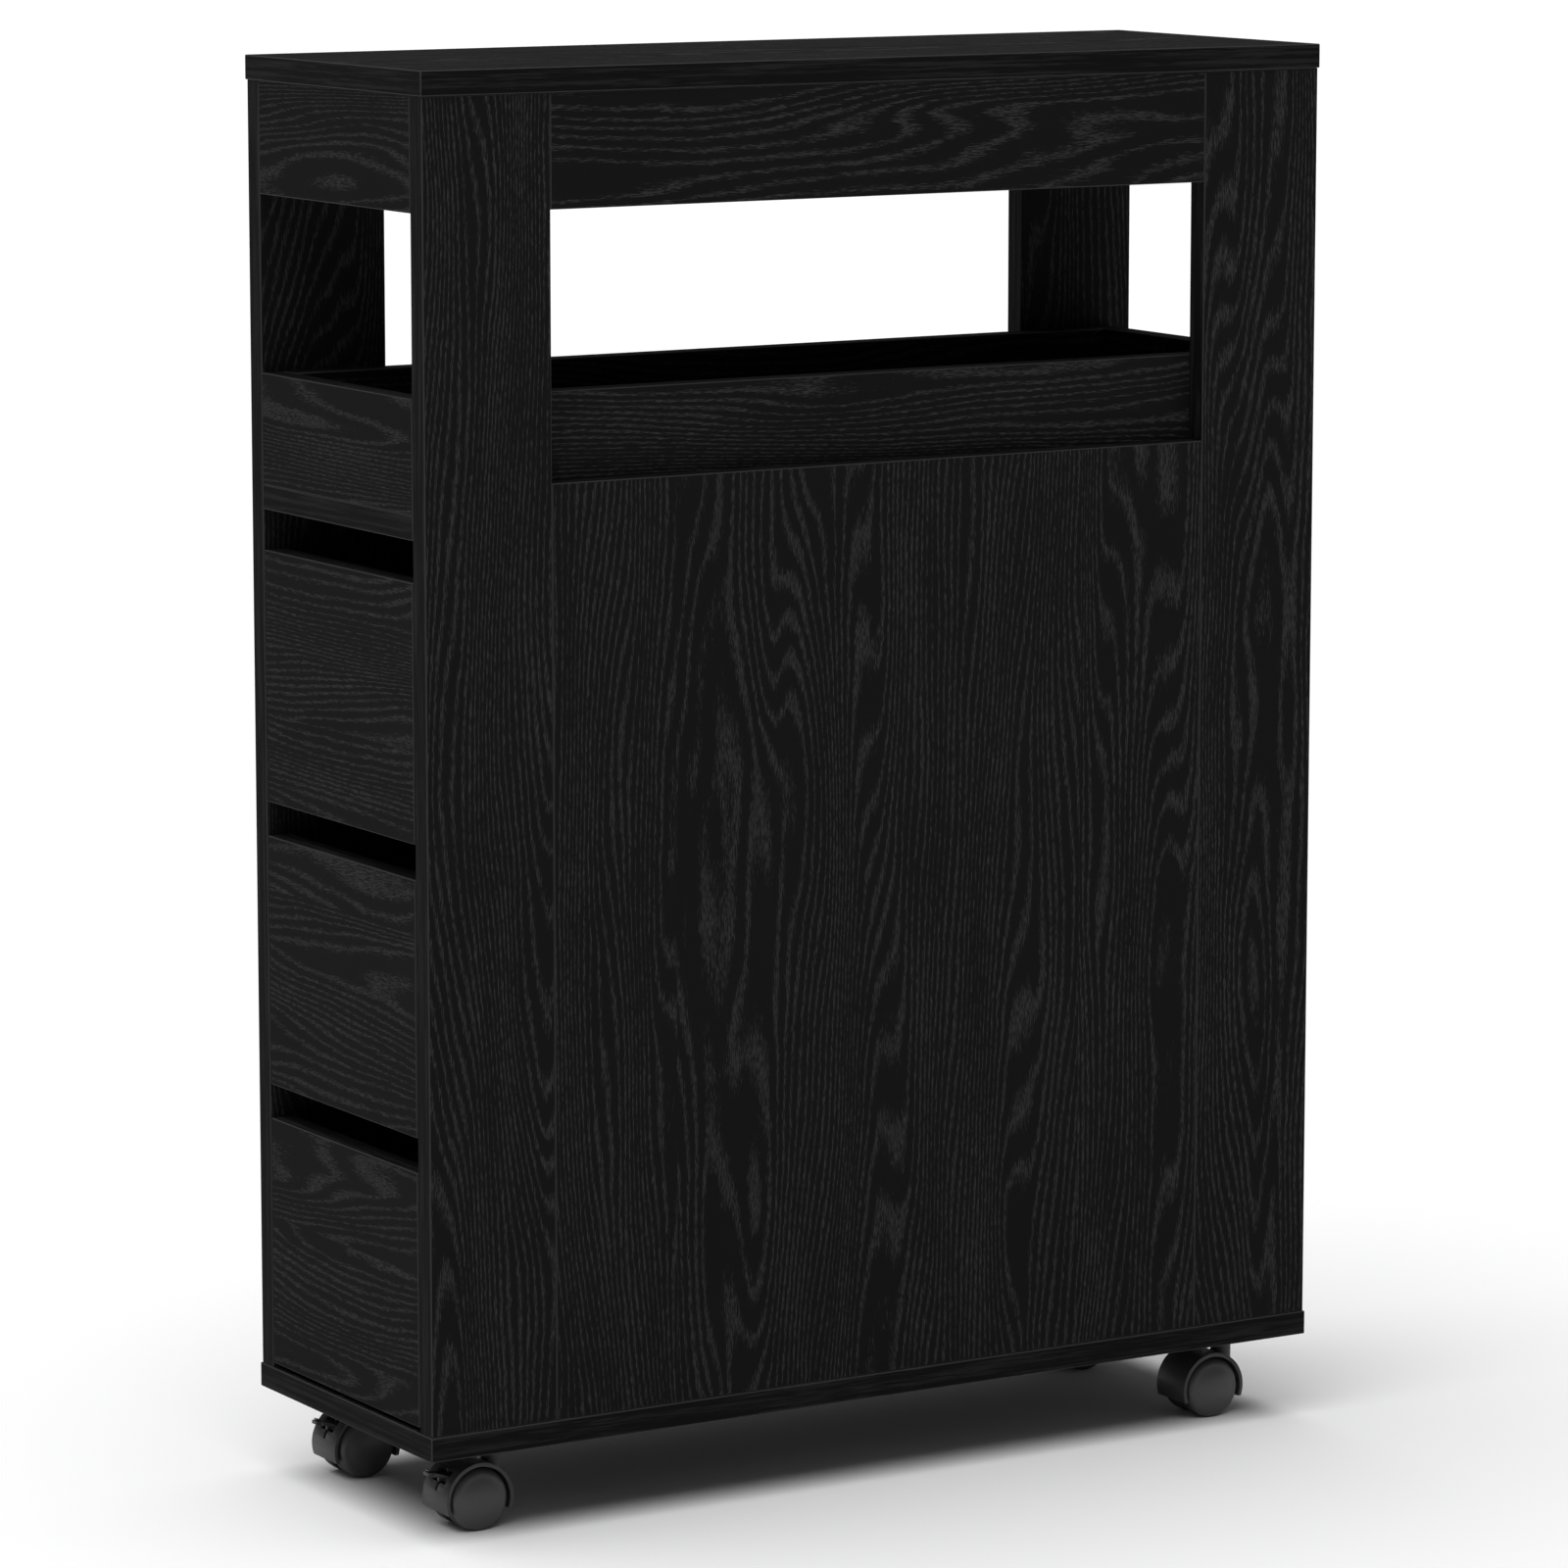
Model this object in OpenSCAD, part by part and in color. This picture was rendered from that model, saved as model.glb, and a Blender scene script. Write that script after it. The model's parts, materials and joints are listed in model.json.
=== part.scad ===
// Narrow kitchen island cart on four twin-wheel casters: an open tray bay under the worktop,
// panelled long faces and a stack of three drawers that pull out at the left end.
// Units are millimetres. The origin is on the floor, under the middle of the worktop.
// +X runs along the cart, away from the drawers; +Y runs to the back; +Z is up.

/* [Worktop and boards] */
// Length of the worktop
cart_length = 680; // [560:5:900]
// Depth of the worktop
cart_depth = 240; // [200:5:320]
// Height of the worktop's upper face above the floor
cart_height = 939; // [780:1:1130]
// Thickness of every board
board = 16; // [15:0.5:20]
// How far the worktop and the base board stand past the body
overhang = 1; // [0:0.5:4]

/* [Long faces] */
// Width of each corner stile
stile_width = 91; // [60:1:120]
// Height of the rails and aprons under the worktop
rail_height = 73; // [50:1:100]
// Height of the open bay between the rails and the tray walls
bay_height = 115.5; // [90:0.5:160]
// How far the long panels reach up past the tray's floor
panel_lap = 16.5; // [5:0.5:40]

/* [Tray] */
// Height of the tray walls above the tray's floor
tray_wall_height = 73; // [50:1:100]
// How far the right end wall, apron and end panel are set in
end_inset = 16; // [2:1:40]

/* [Drawers] */
// Finger gap between the tray's floor and the top drawer
top_gap = 26.5; // [20:0.5:32]
// Finger gap between two drawers
finger_gap = 22.5; // [16:0.5:28]
// Gap between the lowest drawer front and the base board
foot_gap = 3; // [1:0.5:6]
// Gap at each side of a drawer front
side_gap = 1.25; // [1:0.25:3]
// Room behind a closed drawer, up to the end panel
drawer_back_room = 86; // [20:1:150]
// Thickness of the drawer sides and back
drawer_wall = 12; // [11:0.5:15]
// How far the drawer sides end below the top of the front
drawer_side_drop = 32; // [12:1:50]
// Height of the drawer sides above the foot of the front
drawer_lift = 14; // [10:1:20]
// Thickness of the drawer bottom
bottom_sheet = 3; // [2.5:0.5:5]

/* [Runners] */
// How far a runner batten stands in from the wall
runner_width = 10; // [8:0.5:12]
// Height of a runner batten
runner_height = 14; // [10:1:20]
// Gap between a drawer side and the wall
drawer_clearance = 2.5; // [1.5:0.25:4]
// Play over a runner batten
runner_play = 0.3; // [0.2:0.1:1]

/* [Casters] */
// Diameter of a wheel
wheel_d = 41; // [36:1:50]
// Width over both domed wheel faces
caster_width = 40; // [36:1:48]
// Height between the hood over the wheels and the mounting plate
hood_headroom = 9.5; // [7:0.5:20]
// Width of the hood over the wheels
hood_width = 33; // [28:1:40]
// Side of the square mounting plate
plate_size = 38; // [34:1:46]
// Thickness of the mounting plate
plate_thickness = 2.5; // [2:0.5:4]
// Distance between the plate's screws
plate_pitch = 28; // [24:1:34]
// Diameter of the swivel pin
swivel_pin_d = 8; // [7:0.5:10]
// Diameter of the hood's neck
neck_d = 14; // [12.5:0.5:14.5]
// Diameter of an axle
axle_d = 6; // [5:0.5:8]
// Swivel axis of the left casters, in from the worktop's end
left_caster_inset = 66; // [60:1:110]
// Swivel axis of the right casters, in from the worktop's end
right_caster_inset = 41; // [26:1:110]
// Swivel axes, in from the worktop's long edges
caster_side_inset = 42; // [30:1:60]

/* [Brake] */
// How far the brake tab stands out past the hood
brake_stand_out = 6.5; // [4:0.5:12]
// How far the brake tab's tip lies below the top of the wheel
brake_tip_drop = 2.5; // [0.5:0.5:4.5]
// Width of the brake tab
brake_width = 13; // [9:0.5:15]

/* [Fasteners] */
// Diameter of a dowel
dowel_d = 8; // [6:1:10]
// Depth of a dowel in a board's edge
dowel_in_edge = 20; // [12:1:25]
// Depth of a dowel in a board's face
dowel_in_face = 10; // [6:1:12]
// Shank diameter of a caster screw
screw_d = 3.4; // [3:0.1:4.5]
// Length of a caster screw under its head
screw_length = 14; // [10:1:16]
// Head diameter of a caster screw
screw_head_d = 8; // [6:0.5:9]

/* [Hidden] */
// Smoothness
$fn = 72;
wheel_fn = 96;
edge_step = 15;
dome_steps = 6;
// Clearances: running, loose, and how far a cutting shape stands out of what it cuts
shaft_play = 0.05;
loose_fit = 0.1;
cut = 0.5;

// Casters: the wheel's axle lies behind the swivel axis, towards -X
wheel_r = wheel_d / 2;
axle_z = wheel_r;
wheel_gap = 1.5;
hood_wall = 2.5;
hood_inner_r = wheel_r + wheel_gap;
hood_outer_r = hood_inner_r + hood_wall;
neck_inset = 0.5;
caster_trail = hood_outer_r - neck_d / 2 - neck_inset;
caster_height = axle_z + hood_outer_r + hood_headroom + plate_thickness;

// Levels, from the floor up
base_z = caster_height;
body_z = base_z + board;
body_top = cart_height - board;
rail_z = body_top - rail_height;
tray_top = rail_z - bay_height;
tray_z = tray_top - tray_wall_height;
shelf_z = tray_z - board;
panel_top = tray_z + panel_lap;

// Half sizes of the body and of the space between its long faces
body_x = cart_length / 2 - overhang;
body_y = cart_depth / 2 - overhang;
inner_y = body_y - board;
stile_x = body_x - stile_width;
left_inner = -body_x + board;
right_outer = body_x - end_inset;
right_inner = right_outer - board;

// Drawers: number 1 is the lowest
drawer_count = 3;
front_height = (shelf_z - body_z - foot_gap - top_gap - (drawer_count - 1) * finger_gap) / drawer_count;
drawer_pitch = front_height + finger_gap;
drawer_y = inner_y - drawer_clearance;
drawer_end = right_inner - drawer_back_room;
drawer_side_height = front_height - drawer_lift - drawer_side_drop;
sheet_groove = 5;
sheet_lift = 8;
back_drop = 10;
runner_setback = 40;
runner_front = left_inner + runner_setback;
groove_back_play = 1;
runner_end_play = 0.5;
function drawer_z(n) = body_z + foot_gap + (n - 1) * drawer_pitch;
function side_z(n) = drawer_z(n) + drawer_lift;
function sheet_z(n) = side_z(n) + sheet_lift;
function runner_z(n) = side_z(n) + (drawer_side_height - runner_height) / 2;

// Places and inner sizes of the casters
left_x = -cart_length / 2 + left_caster_inset;
right_x = cart_length / 2 - right_caster_inset;
caster_y = cart_depth / 2 - caster_side_inset;
hood_drop = 8;
web_width = 9;
hub_r = 5.5;
hub_proud = 0.5;
wheel_end_play = 0.2;
wheel_inner_y = web_width / 2 + hub_proud + wheel_end_play;
wheel_hub_wall = 1.5;
wheel_hollow_depth = 3;
wheel_rim_wall = 4.5;
inner_edge = 0.6;
tread_edge = 4;
dome_rise = 2.5;
wheel_face_y = caster_width / 2 - dome_rise;
axle_cover = 1.5;
axle_half = wheel_face_y - axle_cover;
axle_end_room = 0.5;
neck_foot = axle_z + hood_drop / 2;
neck_cut_r = hood_inner_r + hood_wall / 3;
neck_air = 1;
neck_top = caster_height - plate_thickness - neck_air;
pin_clear = 1.2;
pin_end = axle_z + sqrt(pow(hood_inner_r, 2) - pow(caster_trail - swivel_pin_d / 2, 2)) + pin_clear;
plate_corner = 3;
plate_hole_play = 1;
screw_head = 2.2;
screw_tip = 3;
screw_slope = 0.7;

// Brake lever, measured from the wheel's axle
shoe_inset = 4.5;
lever_length = 5.5;
shoe_x = -(hood_inner_r - shoe_inset);
pivot_x = shoe_x + lever_length;
pivot_level = 0.63;
pivot_z = wheel_r * pivot_level;
shoe_rise = 2;
shoe_z = pivot_z + shoe_rise;
shoe_r = 1.4;
shoe_half = 8;
trunnion_r = 1.5;
trunnion_end_play = 0.2;
eye_wall = 1.2;
tab_thickness = 2.4;
arm_width = 3.8;
rib_width = 2;
rib_length = 4.5;
rib_height = 3;
rib_drop = 1;
brake_reach = hood_outer_r + brake_stand_out;
brake_rise = wheel_r - brake_tip_drop;

// Room in the hood for the lever's whole stroke
slot_play = 0.4;
window_drop = 3.2;
window_height = 9;
window_depth = 4.2;
slit_low = 6;
slit_depth = 6;
arm_room_edge = 1;
arm_room_end = 4.5;
arm_room_drop = 4.5;
arm_room_height = 12;
cut_past_hood = 2;

// Dowels: spare depth of their holes, and their places as shares of the boards they join
dowel_edge_room = 1;
dowel_face_room = 0.5;
seam_margin = 1;
stile_dowel_at = 0.5;
rail_dowel_at = 0.6;
foot_dowel_at = 0.5;
wall_dowel_at = 0.8;
across_dowel_at = 0.58;
shelf_dowel_at = 0.4;
panel_dowel_levels = [0.15, 0.55, 0.9];
apron_dowel_levels = [0.25, 0.55];
end_dowel_levels = [0.15, 0.5, 0.85];

oak = "#242426";
oak_dark = "#1c1c1e";
batten_wood = "#6b5a44";
sheet_brown = "#4a3a2c";
nylon = "#34363a";
wheel_grey = "#2c2e31";
steel = "#b9bcc0";
beech = "#c9a878";

// Dowels: each has the point where it crosses a seam, and the direction into the face it enters
stile_dowels = [for (side = [-1, 1], along = [-1, 1], sx = [-1, 1])
    [sx * (body_x - stile_width / 2) + along * stile_dowel_at * stile_width / 2,
     side * (body_y - board / 2)]];
dowels_up = concat(
    [for (p = stile_dowels) [[p[0], p[1], body_top], [0, 0, 1]]],
    [for (side = [-1, 1], sx = [-1, 1])
        [[sx * stile_x * rail_dowel_at, side * (body_y - board / 2), body_top], [0, 0, 1]]]);
dowels_down = concat(
    [for (p = stile_dowels) [[p[0], p[1], body_z], [0, 0, -1]]],
    [for (side = [-1, 1], sx = [-1, 1])
        [[sx * stile_x * foot_dowel_at, side * (body_y - board / 2), body_z], [0, 0, -1]]],
    [for (side = [-1, 1], x = [-body_x + board / 2, right_outer - board / 2])
        [[x, side * inner_y * across_dowel_at, tray_z], [0, 0, -1]]],
    [for (side = [-1, 1], along = [-1, 0, 1])
        [[along * stile_x * wall_dowel_at, side * (inner_y - board / 2), tray_z], [0, 0, -1]]]);
dowels_side = concat(
    [for (side = [-1, 1], sx = [-1, 1], level = panel_dowel_levels)
        [[sx * stile_x, side * (body_y - board / 2), body_z + level * (panel_top - body_z)], [sx, 0, 0]]],
    [for (side = [-1, 1], sx = [-1, 1])
        [[sx * stile_x, side * (body_y - board / 2), rail_z + rail_height / 2], [sx, 0, 0]]]);
shelf_dowel_x = [left_inner + board, -stile_x * shelf_dowel_at,
                 stile_x * shelf_dowel_at, right_inner - board];
dowels_across = concat(
    [for (side = [-1, 1], x = shelf_dowel_x)
        [[x, side * inner_y, shelf_z + board / 2], [0, side, 0]]],
    [for (side = [-1, 1], x = [-body_x + board / 2, right_outer - board / 2], level = apron_dowel_levels)
        [[x, side * inner_y, rail_z + level * rail_height], [0, side, 0]]],
    [for (side = [-1, 1], level = end_dowel_levels)
        [[right_outer - board / 2, side * inner_y, body_z + level * (shelf_z - body_z)], [0, side, 0]]]);
dowel_list = concat(dowels_up, dowels_down, dowels_side, dowels_across);

// A cylinder about a dowel's axis, from -back to +front of its seam
module along_dowel(d, back, front, diameter) {
    dir = d[1];
    turn = [dir[1] != 0 ? -90 * dir[1] : (dir[2] < 0 ? 180 : 0), dir[0] * 90, 0];
    translate(d[0]) rotate(turn) translate([0, 0, -back]) cylinder(h = back + front, d = diameter);
}

// Whether a dowel reaches into the box between two corners
function reaches(d, lo, hi) = min([for (k = [0:2])
    let (a = d[0][k] - dowel_in_edge * d[1][k], b = d[0][k] + dowel_in_face * d[1][k])
    (min(a, b) < hi[k] - seam_margin && max(a, b) > lo[k] + seam_margin) ? 1 : 0]) > 0;

// A board between two corners, drilled for each dowel that enters it
module drilled_board(lo, hi, tone = oak) {
    color(tone) difference() {
        translate(lo) cube(hi - lo);
        for (d = dowel_list)
            if (reaches(d, lo, hi))
                along_dowel(d, dowel_in_edge + dowel_edge_room, dowel_in_face + dowel_face_room, dowel_d);
    }
}

// Boards of the body
module top_board() {
    drilled_board(
        [-cart_length / 2, -cart_depth / 2, body_top],
        [cart_length / 2, cart_depth / 2, cart_height]);
}

module base_board() {
    color(oak) difference() {
        drilled_board(
            [-cart_length / 2, -cart_depth / 2, base_z],
            [cart_length / 2, cart_depth / 2, body_z]);
        for (c = caster_centres)
            at_plate_holes(c)
                translate([0, 0, base_z - cut]) cylinder(h = screw_length + cut, d = screw_d + loose_fit);
    }
}

// One of the four stiles: sx is the end, sy the long face
module stile(sx, sy) {
    drilled_board(
        [sx < 0 ? -body_x : stile_x, sy < 0 ? -body_y : inner_y, body_z],
        [sx < 0 ? -stile_x : body_x, sy < 0 ? -inner_y : body_y, body_top]);
}

// A board between the stiles of one long face
module face_board(sy, low, high) {
    drilled_board(
        [-stile_x, sy < 0 ? -body_y : inner_y, low],
        [stile_x, sy < 0 ? -inner_y : body_y, high]);
}

// A board across an end, between the long faces
module end_board(x, low, high) {
    drilled_board([x, -inner_y, low], [x + board, inner_y, high]);
}

module stile_front_left() { stile(-1, -1); }
module stile_front_right() { stile(1, -1); }
module stile_back_left() { stile(-1, 1); }
module stile_back_right() { stile(1, 1); }
module panel_front() { face_board(-1, body_z, panel_top); }
module panel_back() { face_board(1, body_z, panel_top); }
module rail_front() { face_board(-1, rail_z, body_top); }
module rail_back() { face_board(1, rail_z, body_top); }
module apron_left() { end_board(-body_x, rail_z, body_top); }
module apron_right() { end_board(right_inner, rail_z, body_top); }
module tray_wall_left() { end_board(-body_x, tray_z, tray_top); }
module tray_wall_right() { end_board(right_inner, tray_z, tray_top); }
module end_panel() { end_board(right_inner, body_z, shelf_z); }
module tray_floor() {
    drilled_board([-body_x, -inner_y, shelf_z], [right_outer, inner_y, tray_z]);
}

// A long wall of the tray, standing on its floor behind the stiles
module tray_wall(sy) {
    drilled_board(
        [left_inner, sy < 0 ? -inner_y : inner_y - board, tray_z],
        [right_inner, sy < 0 ? -inner_y + board : inner_y, tray_top]);
}

module tray_wall_front() { tray_wall(-1); }
module tray_wall_back() { tray_wall(1); }

module dowels() {
    color(beech)
        for (d = dowel_list)
            along_dowel(d, dowel_in_edge, dowel_in_face, dowel_d - loose_fit);
}

// Drawers and their runners
// The pair of battens that carries drawer n
module runners(n) {
    color(batten_wood)
        for (side = [-1, 1])
            translate([runner_front, side < 0 ? -inner_y : inner_y - runner_width, runner_z(n)])
                cube([drawer_end - runner_front, runner_width, runner_height]);
}

module drawer_front(n) {
    color(oak) difference() {
        translate([-body_x, -inner_y + side_gap, drawer_z(n)])
            cube([board, 2 * (inner_y - side_gap), front_height]);
        translate([left_inner - sheet_groove, -drawer_y + drawer_wall - sheet_groove, sheet_z(n)])
            cube([sheet_groove + cut, 2 * (drawer_y - drawer_wall + sheet_groove), bottom_sheet + loose_fit]);
    }
}

// A drawer side, grooved outside for its runner and inside for the bottom sheet
module drawer_side(n, sy) {
    length = drawer_end - left_inner;
    runner_groove = runner_width - drawer_clearance + runner_end_play;
    color(oak_dark) difference() {
        translate([left_inner, sy * (drawer_y - drawer_wall / 2) - drawer_wall / 2, side_z(n)])
            cube([length, drawer_wall, drawer_side_height]);
        translate([runner_front - groove_back_play, sy * drawer_y - runner_groove,
                   runner_z(n) - groove_back_play])
            cube([drawer_end - runner_front + groove_back_play + cut, 2 * runner_groove,
                  runner_height + groove_back_play + runner_play]);
        translate([left_inner - cut, sy * (drawer_y - drawer_wall) - sheet_groove, sheet_z(n)])
            cube([length + 2 * cut, 2 * sheet_groove, bottom_sheet + loose_fit]);
    }
}

module drawer_back(n) {
    low = sheet_z(n) + bottom_sheet + loose_fit;
    high = side_z(n) + drawer_side_height - back_drop;
    color(oak_dark)
        translate([drawer_end - drawer_wall, -drawer_y + drawer_wall, low])
            cube([drawer_wall, 2 * (drawer_y - drawer_wall), high - low]);
}

module drawer_bottom(n) {
    color(sheet_brown)
        translate([left_inner - sheet_groove + loose_fit, -drawer_y + drawer_wall - sheet_groove + loose_fit,
                   sheet_z(n)])
            cube([drawer_end - left_inner + sheet_groove - loose_fit,
                  2 * (drawer_y - drawer_wall + sheet_groove - loose_fit), bottom_sheet]);
}

module runners_1() { runners(1); }
module runners_2() { runners(2); }
module runners_3() { runners(3); }
module drawer_front_1() { drawer_front(1); }
module drawer_front_2() { drawer_front(2); }
module drawer_front_3() { drawer_front(3); }
module drawer_side_front_1() { drawer_side(1, -1); }
module drawer_side_front_2() { drawer_side(2, -1); }
module drawer_side_front_3() { drawer_side(3, -1); }
module drawer_side_back_1() { drawer_side(1, 1); }
module drawer_side_back_2() { drawer_side(2, 1); }
module drawer_side_back_3() { drawer_side(3, 1); }
module drawer_back_1() { drawer_back(1); }
module drawer_back_2() { drawer_back(2); }
module drawer_back_3() { drawer_back(3); }
module drawer_bottom_1() { drawer_bottom(1); }
module drawer_bottom_2() { drawer_bottom(2); }
module drawer_bottom_3() { drawer_bottom(3); }

// Swivel axes of the casters
front_left = [left_x, -caster_y];
back_left = [left_x, caster_y];
front_right = [right_x, -caster_y];
back_right = [right_x, caster_y];
caster_centres = [front_left, back_left, front_right, back_right];

// The plate's four screw positions about a swivel axis
module at_plate_holes(c) {
    for (ix = [-1, 1], iy = [-1, 1])
        translate([c[0] + ix * plate_pitch / 2, c[1] + iy * plate_pitch / 2, 0]) children();
}

// A shape drawn in X and Z about the wheel's axle, given a width along Y
module across(width) {
    rotate([90, 0, 0]) linear_extrude(height = width, center = true) children();
}

// Moves to the wheel's axle of the caster at c
module at_axle(c) {
    translate([c[0] - caster_trail, c[1], axle_z]) children();
}

module caster_plate(c) {
    color(steel) difference() {
        union() {
            translate([c[0], c[1], base_z - plate_thickness])
                linear_extrude(height = plate_thickness)
                    rounded_square(plate_size, plate_corner);
            translate([c[0], c[1], pin_end])
                cylinder(h = base_z - plate_thickness / 2 - pin_end, d = swivel_pin_d);
        }
        at_plate_holes(c)
            translate([0, 0, base_z - plate_thickness - cut])
                cylinder(h = plate_thickness + 2 * cut, d = screw_d + plate_hole_play);
    }
}

module rounded_square(side, corner) {
    square([side - 2 * corner, side], center = true);
    square([side, side - 2 * corner], center = true);
    for (ix = [-1, 1], iy = [-1, 1])
        translate([ix * (side / 2 - corner), iy * (side / 2 - corner)]) circle(r = corner);
}

// Everything of radius r above the hood's lower edge
module hood_disc(r) {
    intersection() {
        circle(r = r, $fn = wheel_fn);
        translate([-2 * r, -hood_drop]) square([4 * r, 4 * r]);
    }
}

module caster_hood(c, braked) {
    color(nylon) difference() {
        union() {
            at_axle(c) {
                across(hood_width) difference() {
                    hood_disc(hood_outer_r);
                    circle(r = hood_inner_r, $fn = wheel_fn);
                }
                across(web_width) hood_disc(hood_inner_r + hood_wall / 2);
                across(web_width + 2 * hub_proud) circle(r = hub_r);
            }
            hood_neck(c);
        }
        translate([c[0], c[1], pin_end - cut])
            cylinder(h = neck_top - pin_end + 2 * cut, d = swivel_pin_d + 2 * shaft_play);
        at_axle(c) {
            across(caster_width) circle(d = axle_d);
            if (braked) brake_cut();
        }
    }
}

// The neck about the swivel axis, kept clear of the room that the wheels turn in
module hood_neck(c) {
    difference() {
        translate([c[0], c[1], neck_foot]) cylinder(h = neck_top - neck_foot, d = neck_d);
        at_axle(c) across(caster_width) circle(r = neck_cut_r, $fn = wheel_fn);
    }
}

// The window for the tab, the slit for its rib, the room for the arm and the pivot's bore
module brake_cut() {
    outside = -hood_outer_r - cut_past_hood;
    window_half = shoe_half + slot_play;
    slit_half = rib_width / 2 + slot_play;
    arm_half = arm_width / 2 + slot_play;
    arm_start = -hood_inner_r + arm_room_edge;
    translate([outside, -window_half, pivot_z - window_drop])
        cube([shoe_x + window_depth - outside, 2 * window_half, window_height]);
    translate([outside, -slit_half, slit_low])
        cube([slit_depth + cut_past_hood, 2 * slit_half, pivot_z]);
    translate([arm_start, -arm_half, pivot_z - arm_room_drop])
        cube([pivot_x + arm_room_end - arm_start, 2 * arm_half, arm_room_height]);
    translate([pivot_x, 0, pivot_z])
        across(web_width + 2 * cut) circle(r = trunnion_r + shaft_play);
}

module caster_axle(c) {
    color(steel) at_axle(c) across(2 * axle_half) circle(d = axle_d);
}

// Half section of a wheel: x is the radius, y the distance from the caster's middle
bore_r = axle_d / 2 + shaft_play;
bore_end = axle_half + axle_end_room;
wheel_hub_r = hub_r + wheel_hub_wall;
rim_inner_r = wheel_r - wheel_rim_wall;
hollow_y = wheel_inner_y + wheel_hollow_depth;
dome_r = wheel_r - tread_edge;
wheel_section = concat(
    [[0, bore_end], [bore_r, bore_end], [bore_r, wheel_inner_y], [wheel_hub_r, wheel_inner_y]],
    [[wheel_hub_r, hollow_y], [rim_inner_r, hollow_y], [rim_inner_r, wheel_inner_y]],
    [[wheel_r - inner_edge, wheel_inner_y], [wheel_r, wheel_inner_y + inner_edge]],
    [for (a = [0:edge_step:90 - edge_step])
        [wheel_r - tread_edge * (1 - cos(a)), wheel_face_y - tread_edge * (1 - sin(a))]],
    [for (k = [0:dome_steps])
        let (r = dome_r * (1 - k / dome_steps))
        [r, wheel_face_y + dome_rise * (1 - pow(r / dome_r, 2))]]);

// A wheel on the -Y (side -1) or +Y (side 1) end of its axle
module wheel(c, side) {
    color(wheel_grey) at_axle(c)
        rotate([-90 * side, 0, 0])
            rotate_extrude($fn = wheel_fn) polygon(wheel_section);
}

// The lever at rest: trunnion, arm, shoe across both treads, and a tab with a narrower tip
module brake_lever(c) {
    shoulder = brake_reach - brake_width / 4;
    color(nylon) at_axle(c) {
        translate([pivot_x, 0, pivot_z])
            across(web_width - 2 * trunnion_end_play) circle(r = trunnion_r);
        across(arm_width) {
            translate([pivot_x, pivot_z]) circle(r = trunnion_r + eye_wall);
            translate([shoe_x, pivot_z - trunnion_r]) square([lever_length, 2 * trunnion_r]);
        }
        translate([shoe_x, 0, shoe_z]) across(2 * shoe_half) circle(r = shoe_r);
        across(brake_width) brake_profile(shoulder);
        across(brake_width / 2) brake_profile(brake_reach);
        across(rib_width)
            translate([shoe_x - rib_length, pivot_z - rib_drop]) square([rib_length, rib_height]);
    }
}

// The tab from the shoe to its raised tip, drawn in X and Z
module brake_profile(reach) {
    low = shoe_z - tab_thickness / 2;
    tip = brake_rise - tab_thickness / 2;
    polygon([[shoe_x, low], [shoe_x, low + tab_thickness], [-reach, tip + tab_thickness], [-reach, tip]]);
}

module caster_plate_fl() { caster_plate(front_left); }
module caster_plate_bl() { caster_plate(back_left); }
module caster_plate_fr() { caster_plate(front_right); }
module caster_plate_br() { caster_plate(back_right); }
module caster_hood_fl() { caster_hood(front_left, true); }
module caster_hood_bl() { caster_hood(back_left, true); }
module caster_hood_fr() { caster_hood(front_right, false); }
module caster_hood_br() { caster_hood(back_right, false); }
module caster_axle_fl() { caster_axle(front_left); }
module caster_axle_bl() { caster_axle(back_left); }
module caster_axle_fr() { caster_axle(front_right); }
module caster_axle_br() { caster_axle(back_right); }
module wheel_a_fl() { wheel(front_left, -1); }
module wheel_b_fl() { wheel(front_left, 1); }
module wheel_a_bl() { wheel(back_left, -1); }
module wheel_b_bl() { wheel(back_left, 1); }
module wheel_a_fr() { wheel(front_right, -1); }
module wheel_b_fr() { wheel(front_right, 1); }
module wheel_a_br() { wheel(back_right, -1); }
module wheel_b_br() { wheel(back_right, 1); }
module brake_lever_fl() { brake_lever(front_left); }
module brake_lever_bl() { brake_lever(back_left); }

module caster_screw() {
    shank = screw_length - screw_tip;
    translate([0, 0, -screw_head])
        cylinder(h = screw_head, d1 = screw_head_d * screw_slope, d2 = screw_head_d);
    translate([0, 0, -cut]) cylinder(h = shank + cut, d = screw_d);
    translate([0, 0, shank]) cylinder(h = screw_tip, d1 = screw_d, d2 = screw_d / 4);
}

module caster_screws() {
    color(steel)
        for (c = caster_centres)
            at_plate_holes(c) translate([0, 0, base_z - plate_thickness]) caster_screw();
}

top_board();
base_board();
stile_front_left();
stile_front_right();
stile_back_left();
stile_back_right();
panel_front();
panel_back();
rail_front();
rail_back();
apron_left();
apron_right();
tray_floor();
tray_wall_front();
tray_wall_back();
tray_wall_left();
tray_wall_right();
end_panel();
dowels();
runners_1();
runners_2();
runners_3();
drawer_front_1();
drawer_side_front_1();
drawer_side_back_1();
drawer_back_1();
drawer_bottom_1();
drawer_front_2();
drawer_side_front_2();
drawer_side_back_2();
drawer_back_2();
drawer_bottom_2();
drawer_front_3();
drawer_side_front_3();
drawer_side_back_3();
drawer_back_3();
drawer_bottom_3();
caster_plate_fl();
caster_hood_fl();
caster_axle_fl();
wheel_a_fl();
wheel_b_fl();
brake_lever_fl();
caster_plate_bl();
caster_hood_bl();
caster_axle_bl();
wheel_a_bl();
wheel_b_bl();
brake_lever_bl();
caster_plate_fr();
caster_hood_fr();
caster_axle_fr();
wheel_a_fr();
wheel_b_fr();
caster_plate_br();
caster_hood_br();
caster_axle_br();
wheel_a_br();
wheel_b_br();
caster_screws();
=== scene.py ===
import json
import math
import random

import bpy
import bmesh
from mathutils import Matrix, Vector


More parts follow.
